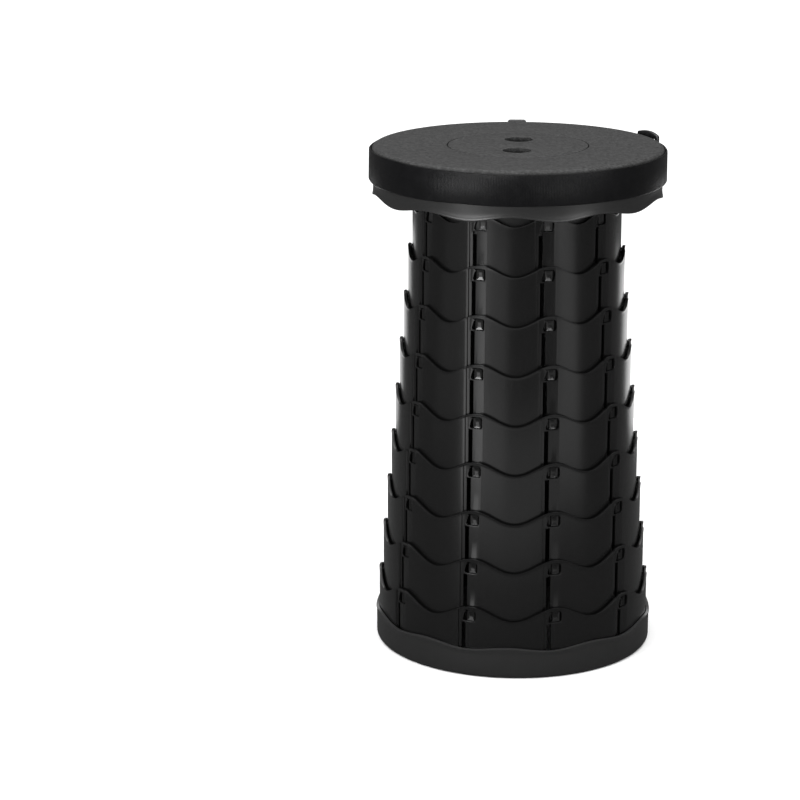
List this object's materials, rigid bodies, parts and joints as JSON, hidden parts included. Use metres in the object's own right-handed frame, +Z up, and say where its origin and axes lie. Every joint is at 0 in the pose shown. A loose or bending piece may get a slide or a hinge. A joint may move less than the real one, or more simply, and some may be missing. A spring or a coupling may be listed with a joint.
{
  "type": "telescopic camp stool",
  "caption": "Round camp stool of nested scalloped plastic rings that slide down into a shallow base pan, with a flat seat, finger holes and a webbing strap with a carrying loop.",
  "frame": {"origin": "on the ground under the middle of the base pan", "axes": "+Z up along the rings' common axis, -Y towards the front, where a valley of every scalloped rim lies, and +Y towards the carrying loop"},
  "size_m": [0.2548, 0.3252, 0.44],
  "materials": {
    "ring_plastic": "semi-gloss black polypropylene",
    "base_plastic": "satin black polypropylene",
    "seat_plastic": "fine-grained dark grey polypropylene",
    "webbing": "woven black polypropylene webbing",
    "buckle_plastic": "moulded black acetal",
    "rubber": "matte black rubber",
    "screw_steel": "zinc-plated steel"
  },
  "bodies": {
    "base": {"base_pan": "base_plastic", "foot_pad_1": "rubber", "foot_pad_2": "rubber", "foot_pad_3": "rubber", "foot_pad_4": "rubber", "foot_pad_5": "rubber", "ring_9": "ring_plastic"},
    "ring_8_body": {"ring_8": "ring_plastic"},
    "ring_7_body": {"ring_7": "ring_plastic"},
    "ring_6_body": {"ring_6": "ring_plastic"},
    "ring_5_body": {"ring_5": "ring_plastic"},
    "ring_4_body": {"ring_4": "ring_plastic"},
    "ring_3_body": {"ring_3": "ring_plastic"},
    "ring_2_body": {"ring_2": "ring_plastic"},
    "ring_1_body": {"ring_1": "ring_plastic"},
    "seat": {"seat_frame": "base_plastic", "seat_top": "seat_plastic", "seat_cap": "seat_plastic", "seat_screw_1": "screw_steel", "seat_screw_2": "screw_steel", "seat_screw_3": "screw_steel", "seat_screw_4": "screw_steel", "seat_screw_5": "screw_steel", "seat_screw_6": "screw_steel", "strap_band": "webbing", "strap_tail": "webbing", "strap_keeper": "buckle_plastic"},
    "handle": {"strap_handle": "webbing"},
    "buckle": {"slider_buckle": "buckle_plastic"}
  },
  "joints": [
    {"name": "ring_8_slide", "type": "slide", "parent": "base", "child": "ring_8_body", "axis": [0, 0, -1], "range_m": [0, 0.04205]},
    {"name": "ring_7_slide", "type": "slide", "parent": "ring_8_body", "child": "ring_7_body", "axis": [0, 0, -1], "range_m": [0, 0.04205]},
    {"name": "ring_6_slide", "type": "slide", "parent": "ring_7_body", "child": "ring_6_body", "axis": [0, 0, -1], "range_m": [0, 0.04205]},
    {"name": "ring_5_slide", "type": "slide", "parent": "ring_6_body", "child": "ring_5_body", "axis": [0, 0, -1], "range_m": [0, 0.04205]},
    {"name": "ring_4_slide", "type": "slide", "parent": "ring_5_body", "child": "ring_4_body", "axis": [0, 0, -1], "range_m": [0, 0.04205]},
    {"name": "ring_3_slide", "type": "slide", "parent": "ring_4_body", "child": "ring_3_body", "axis": [0, 0, -1], "range_m": [0, 0.04205]},
    {"name": "ring_2_slide", "type": "slide", "parent": "ring_3_body", "child": "ring_2_body", "axis": [0, 0, -1], "range_m": [0, 0.04205]},
    {"name": "ring_1_slide", "type": "slide", "parent": "ring_2_body", "child": "ring_1_body", "axis": [0, 0, -1], "range_m": [0, 0.04205]},
    {"name": "seat_slide", "type": "slide", "parent": "ring_1_body", "child": "seat", "axis": [0, 0, -1], "range_m": [0, 0.0351]},
    {"name": "handle_swing", "type": "hinge", "parent": "seat", "child": "handle", "pos_m": [0, 0.1255, 0.424], "axis": [1, 0, 0], "range_deg": [0, 80]},
    {"name": "buckle_travel", "type": "hinge", "parent": "seat", "child": "buckle", "pos_m": [0, 0, 0.424], "axis": [0, 0, 1], "range_deg": [-12, 20]}
  ]
}
